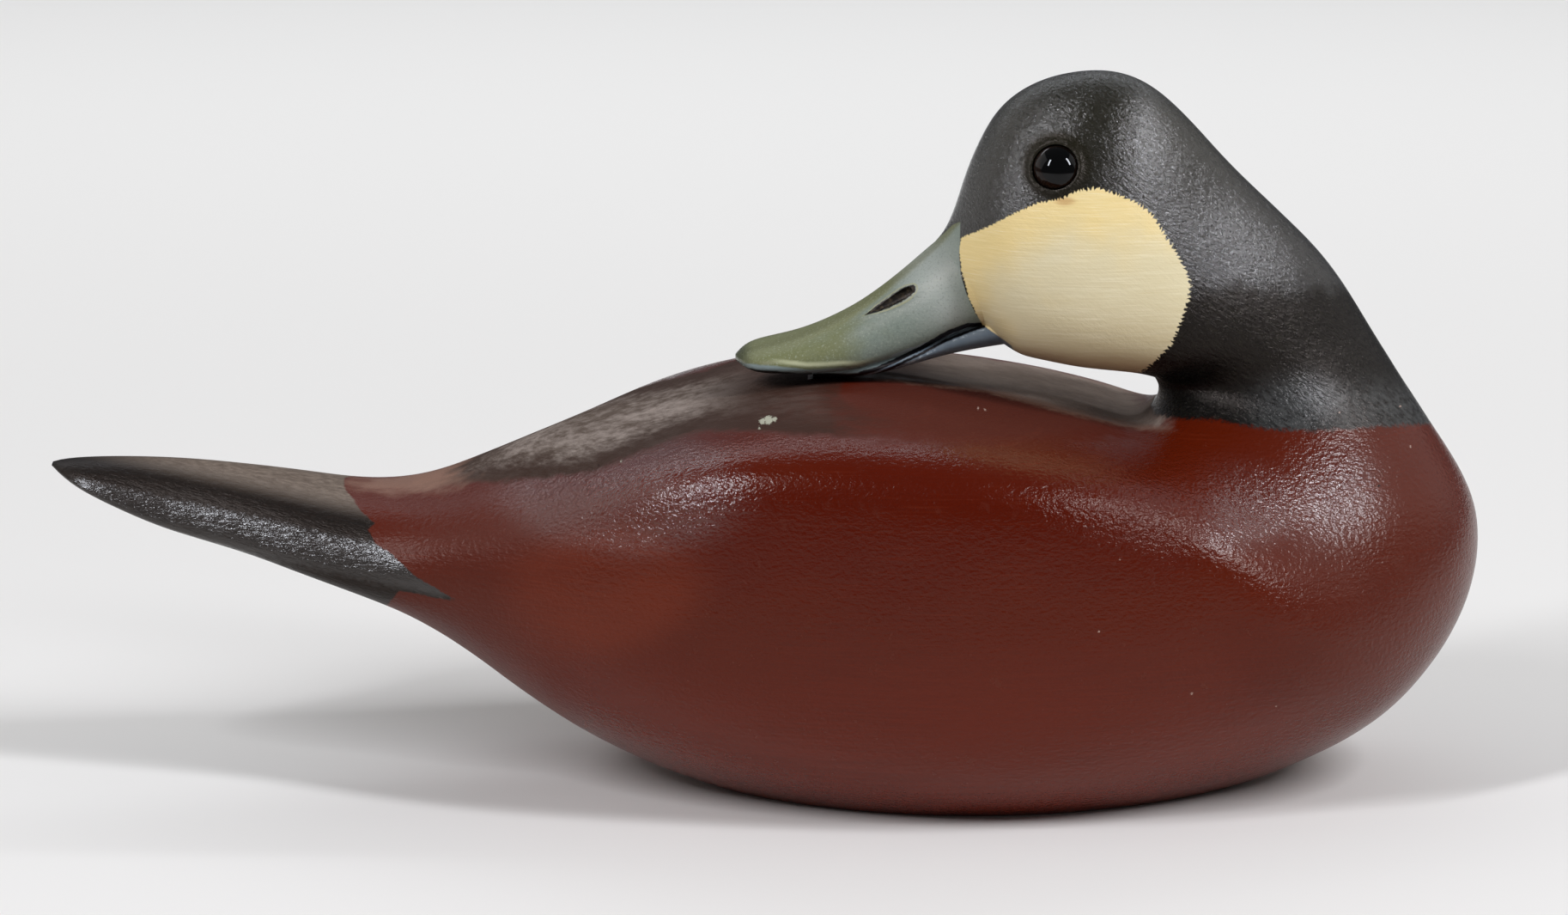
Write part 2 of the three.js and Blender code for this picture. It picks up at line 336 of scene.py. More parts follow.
def hollow_object(place):
    """The nostril's hollow: long, blunt at the head's end and pointed towards the bill's tip."""
    grid = bmesh.new()
    bmesh.ops.create_uvsphere(grid, u_segments=48, v_segments=32, radius=0.5)
    bmesh.ops.rotate(grid, verts=grid.verts, matrix=Matrix.Rotation(math.pi / 2, 3, "Y"))
    for vert in grid.verts:
        along = min(max(vert.co.x, -0.499), 0.499)
        round_width = math.sqrt(1 - (2 * along) ** 2)
        fuller = float(nostril_width(along)) / round_width
        vert.co = Vector((
            along * NOSTRIL_LENGTH,
            vert.co.y * 2 * NOSTRIL_DEPTH * fuller,
            vert.co.z * NOSTRIL_HEIGHT * fuller,
        ))
    grid.transform(place)
    mesh = bpy.data.meshes.new("hollow")
    grid.to_mesh(mesh)
    grid.free()
    return new_object("hollow", mesh)


def box_object(low, high):
    grid = bmesh.new()
    bmesh.ops.create_cube(grid, size=1)
    for vert in grid.verts:
        vert.co = Vector([high[i] if vert.co[i] > 0 else low[i] for i in range(3)])
    mesh = bpy.data.meshes.new("box")
    grid.to_mesh(mesh)
    grid.free()
    return new_object("box", mesh)


def carve_by_hand(points, normals):
    """Slow, slight unevenness, as a knife and rasp leave it."""
    lift = np.empty(len(points))
    for i, (x, y, z) in enumerate(points):
        broad = noise.noise(Vector((x / 34, abs(y) / 26 + 7, z / 22)))
        fine = noise.noise(Vector((x / 13 + 3, y / 12, z / 9)))
        lift[i] = BROAD_WAVE * broad + FINE_WAVE * fine
    return points + normals * lift[:, None]


def raise_details(points, normals):
    """The soft lid round each eye and the raised rim round each nostril."""
    lift = np.zeros(len(points))
    for side in (-1, 1):
        local = seen_from(eye_place(side), points)
        radius = np.hypot(local[:, 0], local[:, 1])
        near = np.abs(local[:, 2]) < LID_REACH
        lift += near * LID_HEIGHT * np.exp(-((radius - LID_RADIUS) / LID_WIDTH) ** 2)
        local = seen_from(nostril_place(side), points)
        narrow = np.clip(NOSTRIL_MIDDLE + RIM_TAPER * local[:, 0] / NOSTRIL_LENGTH, 0.3, 1)
        radius = np.hypot(local[:, 0] / (NOSTRIL_LENGTH / 2), local[:, 2] / (NOSTRIL_HEIGHT / 2 * narrow))
        near = np.abs(local[:, 1]) < RIM_REACH
        lift += near * RIM_HEIGHT * np.exp(-((radius - RIM_PLACE) / RIM_WIDTH) ** 2)
    return points + normals * lift[:, None]


def make_skin():
    """The carving, finer than the solid, and what each point belongs to."""
    def skin_step(t):
        step = np.full_like(t, BODY_STEP)
        step[(t > TAIL_ROWS[0]) & (t < TAIL_ROWS[1])] = TAIL_STEP
        step[t > HEAD_ROW] = HEAD_STEP
        return step

    def bill_step(t):
        return np.full_like(t, BILL_STEP)

    grids = []
    parts = (
        (SKIN, skin_step, SKIN_SIDES),
        (UPPER_BILL, bill_step, BILL_SIDES),
        (LOWER_BILL, bill_step, BILL_SIDES),
    )
    for rows, step_at, sides in parts:
        places = even_places(rows, step_at)
        grids.append((places, loft(rows, places, sides)))
    tree = kdtree.KDTree(sum(grid.shape[0] * grid.shape[1] for _, grid in grids))
    owners = []
    for part, (places, grid) in enumerate(grids):
        for place, ring in zip(places, grid):
            for point in ring:
                tree.insert(point, len(owners))
                owners.append((part, place))
    tree.balance()
    skin = grid_object("carved_duck", grids[0][1])
    combine(skin, grid_object("upper", grids[1][1]), "UNION")
    combine(skin, grid_object("lower", grids[2][1]), "UNION")
    refine_near(skin, [eye_place(side).translation for side in (-1, 1)], EYE_REFINED)
    refine_near(skin, [nostril_place(side).translation for side in (-1, 1)], NOSTRIL_REFINED)
    mesh = skin.data
    points = read_points(mesh)
    points = carve_by_hand(points, read_normals(mesh))
    write_points(mesh, points)
    points = raise_details(points, read_normals(mesh))
    write_points(mesh, points)
    for side in (-1, 1):
        place = eye_place(side)
        top = EYE_RISE + SOCKET_CLEAR
        socket = cylinder_object(place, EYE_RADIUS + SOCKET_GAP, -EYE_DEPTH - SOCKET_GAP, top)
        combine(skin, socket, "DIFFERENCE")
        combine(skin, hollow_object(nostril_place(side)), "DIFFERENCE")
    combine(skin, box_object((-CUT_REACH, -CUT_REACH, -CUT_REACH), (CUT_REACH, CUT_REACH, 0)), "DIFFERENCE")
    points = read_points(skin.data)
    found = np.array([owners[tree.find(point)[1]] for point in points])
    return skin, points, found[:, 0], found[:, 1]


# The camera's axes, for the side picture and for the camera itself.
TILT = math.radians(CAMERA_DEGREES)
LOOK = np.array((0, math.cos(TILT), -math.sin(TILT)))
UP = np.array((0, math.sin(TILT), math.cos(TILT)))


def picture_places(points, mirrored=True):
    """Where points fall in the photograph, in pixels; mirrored lays the right side over the left one."""
    side = points - PICTURE_TARGET
    if mirrored:
        side[:, 1] = -np.abs(points[:, 1])
    near = CAMERA_DISTANCE / (CAMERA_DISTANCE + side @ LOOK)
    across = PICTURE_CENTRE[0] + side[:, 0] * near / PICTURE_SCALE
    down = PICTURE_CENTRE[1] - side @ UP * near / PICTURE_SCALE
    return across, down


def inside_distance(across, down, outline):
    """Distance in pixels to a closed outline, positive inside it."""
    best = np.full(len(across), 1e9)
    crossings = np.zeros(len(across), int)
    for (ax, ay), (bx, by) in zip(outline, outline[1:] + outline[:1]):
        dx, dy = bx - ax, by - ay
        part = np.clip(((across - ax) * dx + (down - ay) * dy) / (dx * dx + dy * dy), 0, 1)
        best = np.minimum(best, np.hypot(across - ax - part * dx, down - ay - part * dy))
        spans = (ay > down) != (by > down)
        with np.errstate(divide="ignore", invalid="ignore"):
            meets = ax + (down - ay) * dx / (dy if dy else 1e-9)
        crossings += spans & (across < meets)
    return np.where(crossings % 2 == 1, best, -best)


def line_distance(across, down, line):
    """Signed distance in pixels to an open line, positive below it."""
    best = np.full(len(across), 1e9)
    sign = np.ones(len(across))
    for (ax, ay), (bx, by) in zip(line, line[1:]):
        dx, dy = bx - ax, by - ay
        part = np.clip(((across - ax) * dx + (down - ay) * dy) / (dx * dx + dy * dy), 0, 1)
        away = np.hypot(across - ax - part * dx, down - ay - part * dy)
        closer = away < best
        best = np.where(closer, away, best)
        turned = dx * (down - ay) - dy * (across - ax)
        sign = np.where(closer, np.where(turned >= 0, 1, -1), sign)
    return best * sign


# Paint borders as read off the photograph, in its pixels.
CHEEK = [
    (1119, 277), (1151, 264), (1176, 251), (1207, 237), (1238, 231), (1253, 223), (1278, 219), (1304, 228),
    (1325, 237), (1342, 251), (1355, 272), (1370, 295), (1380, 313), (1386, 330), (1384, 348), (1373, 379),
    (1363, 402), (1345, 420), (1330, 432), (1290, 450), (1184, 440), (1180, 407), (1159, 392), (1141, 374),
    (1128, 346), (1120, 315), (1117, 290),
]
BILL = [
    (1119, 257), (1118, 277), (1117, 296), (1119, 319), (1125, 342), (1136, 365), (1145, 379), (1161, 390),
    (1178, 402), (1184, 414), (1150, 440), (1040, 470), (820, 470), (800, 330), (1070, 260), (1089, 279),
    (1098, 273), (1109, 262),
]
BLACK = [
    (1338, 466), (1344, 483), (1367, 488), (1416, 489), (1449, 496), (1482, 501), (1531, 502), (1600, 498),
    (1661, 494), (1780, 490), (1780, 0), (1000, 0), (1000, 300), (1180, 420), (1336, 430),
]
BLACK_HEAD = [
    (1180, 520), (1367, 488), (1416, 489), (1449, 496), (1482, 501), (1531, 502), (1600, 498), (1661, 494),
    (1780, 490), (1780, 0), (800, 0), (800, 520),
]
TAIL = [
    (400, 500), (400, 555), (401, 568), (411, 580), (421, 596), (436, 609), (428, 616), (438, 633),
    (458, 646), (481, 669), (504, 682), (531, 699), (511, 697), (481, 690), (465, 688), (455, 699),
    (446, 712), (425, 740), (0, 800), (0, 450),
]
BACK = [
    (474, 571), (500, 569), (540, 563), (614, 559), (688, 552), (703, 545), (747, 528), (784, 513),
    (821, 503), (873, 502), (920, 505), (955, 508), (1000, 510), (1080, 509), (1130, 507), (1130, 484),
    (1060, 478), (1000, 474), (978, 462), (984, 437), (1040, 440), (1090, 446), (1151, 454), (1212, 470),
    (1274, 486), (1327, 497), (1372, 502), (1372, 430), (1200, 380), (860, 380), (700, 440), (540, 515),
    (500, 545),
]
STRIP = [
    (984, 437), (1040, 440), (1090, 446), (1151, 454), (1212, 470), (1274, 486), (1327, 497), (1372, 502),
]
# How far over to the right side the grey strip and the painted highlight along its ridge reach, and how
# softly the strip ends there, in millimetres, then where it ends in the picture and how fast it fades
# towards that end.
STRIP_WIDTH = 44.0
RIDGE_REACH = 12.0
STRIP_FADE = 1.1
STRIP_END = 1350
STRIP_END_FADE = 0.25
MOUTH_UPPER = [(1000, 435), (1020, 430), (1042, 420), (1073, 405), (1104, 387), (1127, 378.5), (1147, 378)]
MOUTH_LOWER = [(1020, 436), (1035, 430), (1073, 411.5), (1100, 397), (1127, 386), (1148, 379)]
BILL_EDGE = [(866, 420), (886, 423), (940, 427), (1001, 426), (1035, 414)]
CULMEN = [
    (856, 410), (862, 404), (882, 397), (902, 392), (922, 386), (942, 379), (962, 371), (982, 360),
    (1002, 348), (1022, 334), (1042, 318), (1062, 302), (1082, 284), (1102, 262), (1122, 240),
]


def paint_fields(points, part, place):
    """What the paint needs to know at each point, in pixels of the side picture."""
    across, down = picture_places(points)
    seen = picture_places(points, mirrored=False)
    head = (part > 0) | (place > HEAD_ROW)
    ridge = line_distance(*seen, STRIP)
    beyond = (points[:, 1] - STRIP_WIDTH) / STRIP_FADE
    far = (points[:, 1] > 0) & (across > STRIP[0][0])
    far_strip = np.minimum(-beyond, (STRIP_END - across) * STRIP_END_FADE)
    far_strip = np.minimum(inside_distance(*seen, BACK), far_strip)
    back = inside_distance(across, down, BACK)
    back = np.where(far, np.maximum(back, far_strip), back)
    head_black = inside_distance(across, down, BLACK_HEAD)
    fields = {
        "across": across,
        "down": down,
        "left": (points[:, 1] < 0).astype(float),
        "cheek": np.where(head, inside_distance(across, down, CHEEK), NOT_HERE),
        "bill": np.where(head, inside_distance(across, down, BILL), NOT_HERE),
        "black": np.where(head, head_black, inside_distance(across, down, BLACK)),
        "tail": np.where(head, NOT_HERE, inside_distance(across, down, TAIL)),
        "back": np.where(head, NOT_HERE, back),
        "strip": np.maximum(ridge, beyond),
        "ridge": np.where(points[:, 1] < RIDGE_REACH, ridge, NOT_HERE),
        "mouth_upper": line_distance(across, down, MOUTH_UPPER),
        "mouth_lower": line_distance(across, down, MOUTH_LOWER),
        "bill_edge": line_distance(across, down, BILL_EDGE),
        "culmen": line_distance(across, down, CULMEN),
    }
    for name, values in fields.items():
        fields[name] = np.clip(values, -FIELD_LIMIT, FIELD_LIMIT)
    mirrored = np.column_stack([points[:, 0], -np.abs(points[:, 1]), points[:, 2]])
    local = seen_from(nostril_place(-1), mirrored)
    along = local[:, 0] / NOSTRIL_LENGTH
    half = NOSTRIL_HEIGHT / 2 * nostril_width(np.clip(along, -NOSTRIL_ENDS, NOSTRIL_ENDS))
    past = np.clip(np.abs(along) - NOSTRIL_ENDS, 0, None) * NOSTRIL_LENGTH
    fields["nostril"] = np.hypot(np.abs(local[:, 2]) / half, past)
    return fields


def add_fields(mesh, fields):
    for name, values in fields.items():
        made = mesh.attributes.new(name, "FLOAT", "POINT")
        made.data.foreach_set("value", np.asarray(values, np.float32))


def colour(red, green, blue):
    """A screen colour, 0 to 255, as the linear colour that the shader takes."""
    def linear(value):
        value /= 255
        return value / 12.92 if value <= 0.04045 else ((value + 0.055) / 1.055) ** 2.4
    return (linear(red), linear(green), linear(blue), 1)


# Screen colours of the paint, glass and floor.
TONES = {
    "red": (82, 21, 4),
    "red_deep": (78, 14, 0),
    "red_rump": (82, 26, 12),
    "red_orange": (108, 38, 16),
    "red_low": (106, 36, 21),
    "red_breast": (84, 36, 25),
    "red_line_dark": (62, 13, 5),
    "red_line_light": (112, 38, 16),
    # Painted shade below the grey strip beside the neck.
    "shade_patch": (72, 26, 13),
    "tan": (134, 100, 84),
    "back_dark": (82, 68, 58),
    "back_light": (148, 134, 124),
    "back_border": (46, 25, 15),
    # Painted shade on the back under the bill.
    "back_shade_below_bill": (50, 24, 13),
    "strip": (140, 123, 111),
    # A light line painted along the grey strip's ridge as its highlight.
    "ridge": (132, 102, 84),
    # The tail's top: grey-brown paint, lightened partly as a painted reflection.
    "tail_top_dark_and_sheen": (90, 76, 64),
    "tail_top_light_and_sheen": (134, 118, 104),
    "tail_side_dark": (15, 9, 6),
    "tail_side_light": (30, 20, 15),
    "black_dark": (13, 12, 11),
    "black_light": (28, 27, 21),
    # Browner and a little lighter over the crown: partly a painted reflection on the head's top.
    "black_head_top_tint_and_sheen": (28, 26, 12),
    # A painted grey sheen on the neck's base.
    "black_neck_sheen": (76, 77, 76),
    "cheek": (220, 206, 168),
    "cheek_yellow": (232, 206, 144),
    "cheek_line_dark": (196, 174, 124),
    "cheek_line_light": (248, 238, 212),
    "cheek_smudge": (170, 112, 58),
    # Painted reddish shade along the chin.
    "cheek_chin_shade": (146, 106, 74),
    "cheek_low": (180, 154, 108),
    "bill_green": (122, 131, 120),
    "bill_olive": (112, 114, 78),
    "bill_grey": (160, 164, 156),
    "bill_ridge": (84, 84, 50),
    "bill_fleck_light": (164, 168, 150),
    "bill_fleck_dark": (84, 90, 74),
    "bill_edge": (134, 146, 144),
    # A painted highlight along the bill's lower edge.
    "bill_edge_highlight": (206, 206, 168),
    # Near black at the bill's lowest edge on the back: the mouth line's black paint carried on, and painted
    # shade.
    "bill_line_and_shade": (22, 21, 20),
    "bill_nail": (58, 62, 46),
    "lower_bill_dark": (98, 110, 120),
    "lower_bill_light": (118, 128, 134),
    "mouth_line": (18, 18, 21),
    "mouth_worn": (168, 176, 178),
    # A painted highlight on the nostril's raised rim.
    "nostril_edge_highlight": (158, 154, 112),
    # Painted shade inside the nostril's hollow.
    "nostril_shade_black": (22, 20, 18),
    "nostril_shade_brown": (66, 56, 42),
    "chip": (168, 166, 146),
    "speck": (168, 142, 128),
    "pit": (34, 12, 8),
    "iris_dark": (15, 9, 7),
    "iris_light": (32, 19, 12),
    "pupil": (4, 4, 4),
    "floor_paper": (236, 231, 224),
}
# Soft spots of the side picture: across, down, and how wide and high they reach.
SPOTS = {
    "warm_flank": (1010, 610, 420, 150),
    "warm_breast": (1280, 640, 260, 110),
    "orange_rump": (705, 690, 170, 120),
    # Where the painted shade lies below the grey strip beside the neck.
    "shade_patch": (1150, 472, 310, 66),
    "tan": (470, 556, 120, 34),
    "cheek_smudge": (1240, 234, 26, 12),
    "bill_root": (1088, 325, 62, 84),
    "bill_corner": (1110, 366, 30, 34),
    "round_eye": (1231, 193, 54, 52),
    "glossy_neck": (1512, 464, 70, 46),
    "varnish_bulge": (730, 572, 200, 105),
    "varnish_flank": (1370, 585, 240, 80),
    "varnish_breast": (1545, 570, 110, 105),
}
# Small marks on the side that the photograph shows: across, down and reach in its pixels, and tone.
MARKS = (
    (888, 490, 4, "chip"), (895, 489, 5.5, "chip"), (902, 488, 3.5, "chip"), (884, 498, 1.8, "chip"),
    (723, 537, 1.8, "chip"), (697, 542, 1.6, "pit"), (1304, 651, 1.4, "speck"),
    (1642, 520, 1.5, "speck"), (1280, 735, 1.4, "speck"), (1388, 807, 1.5, "speck"),
    (1486, 822, 1.3, "speck"), (749, 467, 1.8, "pit"), (757, 465, 1.6, "pit"), (1631, 473, 1.6, "speck"),
    (1606, 565, 2, "pit"), (1139, 475, 1.6, "speck"), (1147, 477, 1.4, "speck"), (1560, 480, 1.3, "speck"),
)
ROUGHNESS = {
    "red": 0.24,
    "red_rump": 0.4,
    "back": 0.75,
    "shade_patch": 0.9,
    "tail": 0.42,
    "black": 0.28,
    "cheek": 0.36,
    "bill": 0.4,
    "nail": 0.16,
    "coat": 0.17,
    "glass": 0.03,
    "floor": 0.7,
}
# How far the head's and the tail's strokes lean, in degrees, and how far down the tail's lines run for
# each pixel across.
HEAD_LEAN = -32
TAIL_LEAN = -13
TAIL_FALL = -0.22
STROKE_HEIGHT = 0.05 * MM
PITTED_HEIGHT = 0.26 * MM


class Paint:
    """Short names for the nodes of one material."""

    def __init__(self, name):
        self.material = bpy.data.materials.new(name)
        self.material.use_nodes = True
        self.nodes = self.material.node_tree.nodes
        self.links = self.material.node_tree.links
        self.shader = self.nodes["Principled BSDF"]
        self.place = self.nodes.new("ShaderNodeTexCoord").outputs["Object"]

    def put(self, socket, value):
        if isinstance(value, bpy.types.NodeSocket):
            self.links.new(value, socket)
        else:
            socket.default_value = value

    def field(self, name):
        node = self.nodes.new("ShaderNodeAttribute")
        node.attribute_name = name
        return node.outputs["Fac"]

    @property
    def across(self):
        return self.field("across")

    @property
    def down(self):
        return self.field("down")

    def calc(self, operation, *values):
        node = self.nodes.new("ShaderNodeMath")
        node.operation = operation
        for socket, value in zip(node.inputs, values):
            self.put(socket, value)
        return node.outputs[0]

    def add(self, a, b, part=None):
        """a plus b, or plus a part of b."""
        return self.calc("ADD", a, b if part is None else self.times(b, part))

    def times(self, a, b):
        return self.calc("MULTIPLY", a, b)

    def most(self, a, b):
        return self.calc("MAXIMUM", a, b)

    def without(self, a):
        return self.calc("SUBTRACT", 1.0, a)

    def size(self, a):
        return self.calc("ABSOLUTE", a)

    def scaled(self, x, y, z):
        """Object places in millimetres, stretched by a factor along each axis."""
        node = self.nodes.new("ShaderNodeMapping")
        self.put(node.inputs["Vector"], self.place)
        node.inputs["Scale"].default_value = (x / MM, y / MM, z / MM)
        return node.outputs[0]

    def turned(self, degrees, x, y, z):
        """The same, with the picture's level axis first turned by some degrees about Y."""
        node = self.nodes.new("ShaderNodeMapping")
        node.vector_type = "TEXTURE"
        self.put(node.inputs["Vector"], self.place)
        node.inputs["Rotation"].default_value = (0, math.radians(-degrees), 0)
        node.inputs["Scale"].default_value = (MM / x, MM / y, MM / z)
        return node.outputs[0]

    def mark(self, across, down, reach, ragged):
        """1 inside a small ragged spot of the side picture."""
        picture = self.nodes.new("ShaderNodeCombineXYZ")
        self.put(picture.inputs["X"], self.across)
        self.put(picture.inputs["Y"], self.down)
        node = self.nodes.new("ShaderNodeVectorMath")
        node.operation = "DISTANCE"
        self.put(node.inputs[0], picture.outputs[0])
        node.inputs[1].default_value = (across, down, 0)
        return self.step(self.add(node.outputs["Value"], ragged), reach, reach - 1.5)

    def grain(self, places, scale, detail=2.0, rough=0.5):
        """Noise from -0.5 to 0.5 about its middle."""
        node = self.nodes.new("ShaderNodeTexNoise")
        self.put(node.inputs["Vector"], places)
        node.inputs["Scale"].default_value = scale
        node.inputs["Detail"].default_value = detail
        node.inputs["Roughness"].default_value = rough
        return self.calc("SUBTRACT", node.outputs["Fac"], 0.5)

    def step(self, value, low, high):
        """0 where the value is low, 1 where it is high, and smooth in between; low may be the larger."""
        node = self.nodes.new("ShaderNodeMapRange")
        node.interpolation_type = "SMOOTHSTEP"
        self.put(node.inputs["Value"], value)
        node.inputs["From Min"].default_value = low
        node.inputs["From Max"].default_value = high
        return node.outputs["Result"]

    def spot(self, name):
        """1 in the middle of a soft spot of the side picture, falling to 0 at its rim."""
        across, down, wide, high = SPOTS[name]
        x = self.times(self.add(self.across, -across), 1 / wide)
        y = self.times(self.add(self.down, -down), 1 / high)
        reach = self.calc("SQRT", self.add(self.times(x, x), self.times(y, y)))
        return self.step(reach, 1, 0)

    def between(self, kind, factor, a, b):
        node = self.nodes.new("ShaderNodeMix")
        node.data_type = "RGBA" if kind == "Color" else "FLOAT"
        sockets = {socket.identifier: socket for socket in node.inputs}
        self.put(sockets["Factor_Float"], factor)
        self.put(sockets["A_" + kind], a)
        self.put(sockets["B_" + kind], b)
        return next(socket for socket in node.outputs if socket.identifier == "Result_" + kind)

    def mix(self, factor, a, b, part=None):
        """A colour from a to b, or only a part of that; each is a socket or the name of a tone."""
        if part is not None:
            factor = self.times(factor, part)
        a, b = (colour(*TONES[tone]) if isinstance(tone, str) else tone for tone in (a, b))
        return self.between("Color", factor, a, b)

    def blend(self, factor, a, b):
        return self.between("Float", factor, a, b)

    def bump(self, height, distance, below=None):
        node = self.nodes.new("ShaderNodeBump")
        self.put(node.inputs["Height"], height)
        node.inputs["Distance"].default_value = distance
        if below is not None:
            self.put(node.inputs["Normal"], below)
        return node.outputs["Normal"]


def red_paint(paint):
    """Deep red, more orange before the middle of the flank, duller and browner below and at the tail."""
    lines = paint.grain(paint.scaled(0.05, 0.05, 2.4), 1, 3, 0.6)
    cloud = paint.grain(paint.scaled(0.03, 0.05, 0.07), 1, 3)
    warm = paint.add(paint.spot("warm_flank"), paint.spot("warm_breast"), 0.4)
    warm = paint.add(warm, cloud, 0.9)
    tone = paint.mix(paint.step(warm, 0.05, 0.8), "red", "red_deep")
    wave = paint.add(paint.across, cloud, 60)
    tone = paint.mix(paint.step(wave, 655, 635), tone, "red_rump", 0.6)
    orange = paint.add(paint.spot("orange_rump"), cloud, 0.5)
    tone = paint.mix(paint.step(orange, 0.05, 0.6), tone, "red_orange", 0.6)
    low = paint.add(paint.step(paint.down, 700, 900), cloud, 0.5)
    tone = paint.mix(low, tone, "red_low", 0.75)
    front = paint.step(paint.add(paint.across, cloud, 80), 1450, 1620)
    tone = paint.mix(front, tone, "red_breast", 0.5)
    dark = paint.step(paint.add(lines, cloud, 0.7), -0.15, 0.35)
    tone = paint.mix(dark, tone, "red_line_dark", 0.4)
    return paint.mix(paint.step(lines, 0.02, 0.3), tone, "red_line_light", 0.35)


def back_paint(paint):
    """Dry grey-brown with long light scuffs, darker towards its lower border, with painted shade under the
    bill.
    """
    scuff = paint.grain(paint.scaled(0.08, 0.3, 1.4), 1, 4, 0.7)
    cloud = paint.grain(paint.scaled(0.05, 0.09, 0.1), 1, 3)
    light = paint.add(scuff, cloud, 0.8)
    tone = paint.mix(paint.step(light, -0.25, 0.3), "back_dark", "back_light")
    behind = paint.step(paint.across, 1030, 1140)
    border = paint.add(paint.field("back"), light, 18)
    border = paint.blend(behind, paint.step(border, 38, 10), 0.0)
    tone = paint.mix(border, tone, "back_border", 0.9)
    # Painted shade: the back is darker where it lies under the bill.
    shade_below_bill = paint.step(paint.add(paint.across, light, 60), 790, 890)
    shade_below_bill = paint.times(shade_below_bill, paint.blend(behind, 0.85, 0.0))
    tone = paint.mix(shade_below_bill, tone, "back_shade_below_bill")
    return paint.mix(behind, tone, "strip", 0.65)


def tail_paint(paint):
    """Grey-brown above, lightened partly as a painted reflection, near black on the side, with fine strokes
    that run back along the feathers.
    """
    stroke = paint.grain(paint.turned(TAIL_LEAN, 0.4, 0.9, 3.6), 1, 4, 0.7)
    # The top's lighter tone is partly a painted reflection on the upward-facing surface.
    tone = paint.mix(paint.step(stroke, -0.2, 0.3), "tail_top_dark_and_sheen", "tail_top_light_and_sheen")
    side = paint.add(paint.down, paint.across, TAIL_FALL)
    side = paint.add(side, stroke, 16)
    dark = paint.mix(paint.step(stroke, -0.1, 0.3), "tail_side_dark", "tail_side_light")
    return paint.mix(paint.step(side, 486, 516), tone, dark)


def black_paint(paint):
    """Near black; browner and a little lighter over the crown, partly a painted reflection there, and a
    painted grey sheen at the neck's base.
    """
    speck = paint.grain(paint.turned(HEAD_LEAN, 0.5, 0.9, 1.6), 1, 3, 0.65)
    tone = paint.mix(paint.step(speck, -0.05, 0.3), "black_dark", "black_light")
    # Browner and a little lighter over the crown, partly a painted reflection on the top of the head.
    crown = paint.step(paint.down, 330, 120)
    tone = paint.mix(crown, tone, "black_head_top_tint_and_sheen", 0.7)
    # A painted grey sheen at the neck's base, broken up by specks.
    base = paint.times(paint.step(paint.down, 425, 470), paint.step(paint.across, 1430, 1500))
    base = paint.times(base, paint.step(speck, -0.25, 0.2))
    return paint.mix(base, tone, "black_neck_sheen", 0.7)


def cheek_paint(paint):
    """Cream over wood, yellower above and to the left, with fine level brush lines, darker towards the
    bottom and a painted reddish shade along the chin.
    """
    lines = paint.grain(paint.scaled(0.12, 0.12, 3.2), 1, 3, 0.65)
    cloud = paint.grain(paint.scaled(0.1, 0.1, 0.1), 1, 2)
    yellow = paint.add(paint.step(paint.down, 340, 235), paint.step(paint.across, 1215, 1115))
    yellow = paint.add(yellow, cloud, 1.2)
    tone = paint.mix(paint.step(yellow, 0.05, 1.2), "cheek", "cheek_yellow")
    tone = paint.mix(paint.step(lines, -0.1, 0.35), tone, "cheek_line_dark", 0.3)
    tone = paint.mix(paint.step(lines, 0, -0.3), tone, "cheek_line_light", 0.35)
    smudge = paint.step(paint.add(paint.spot("cheek_smudge"), lines, 0.8), 0.3, 1)
    tone = paint.mix(smudge, tone, "cheek_smudge", 0.5)
    # Painted shade: reddish along the bottom of the cheek at the chin.
    chin_shade = paint.step(paint.add(paint.down, cloud, 14), 404, 436)
    tone = paint.mix(chin_shade, tone, "cheek_chin_shade", 0.55)
    return paint.mix(paint.step(paint.down, 340, 430), tone, "cheek_low", 0.3)


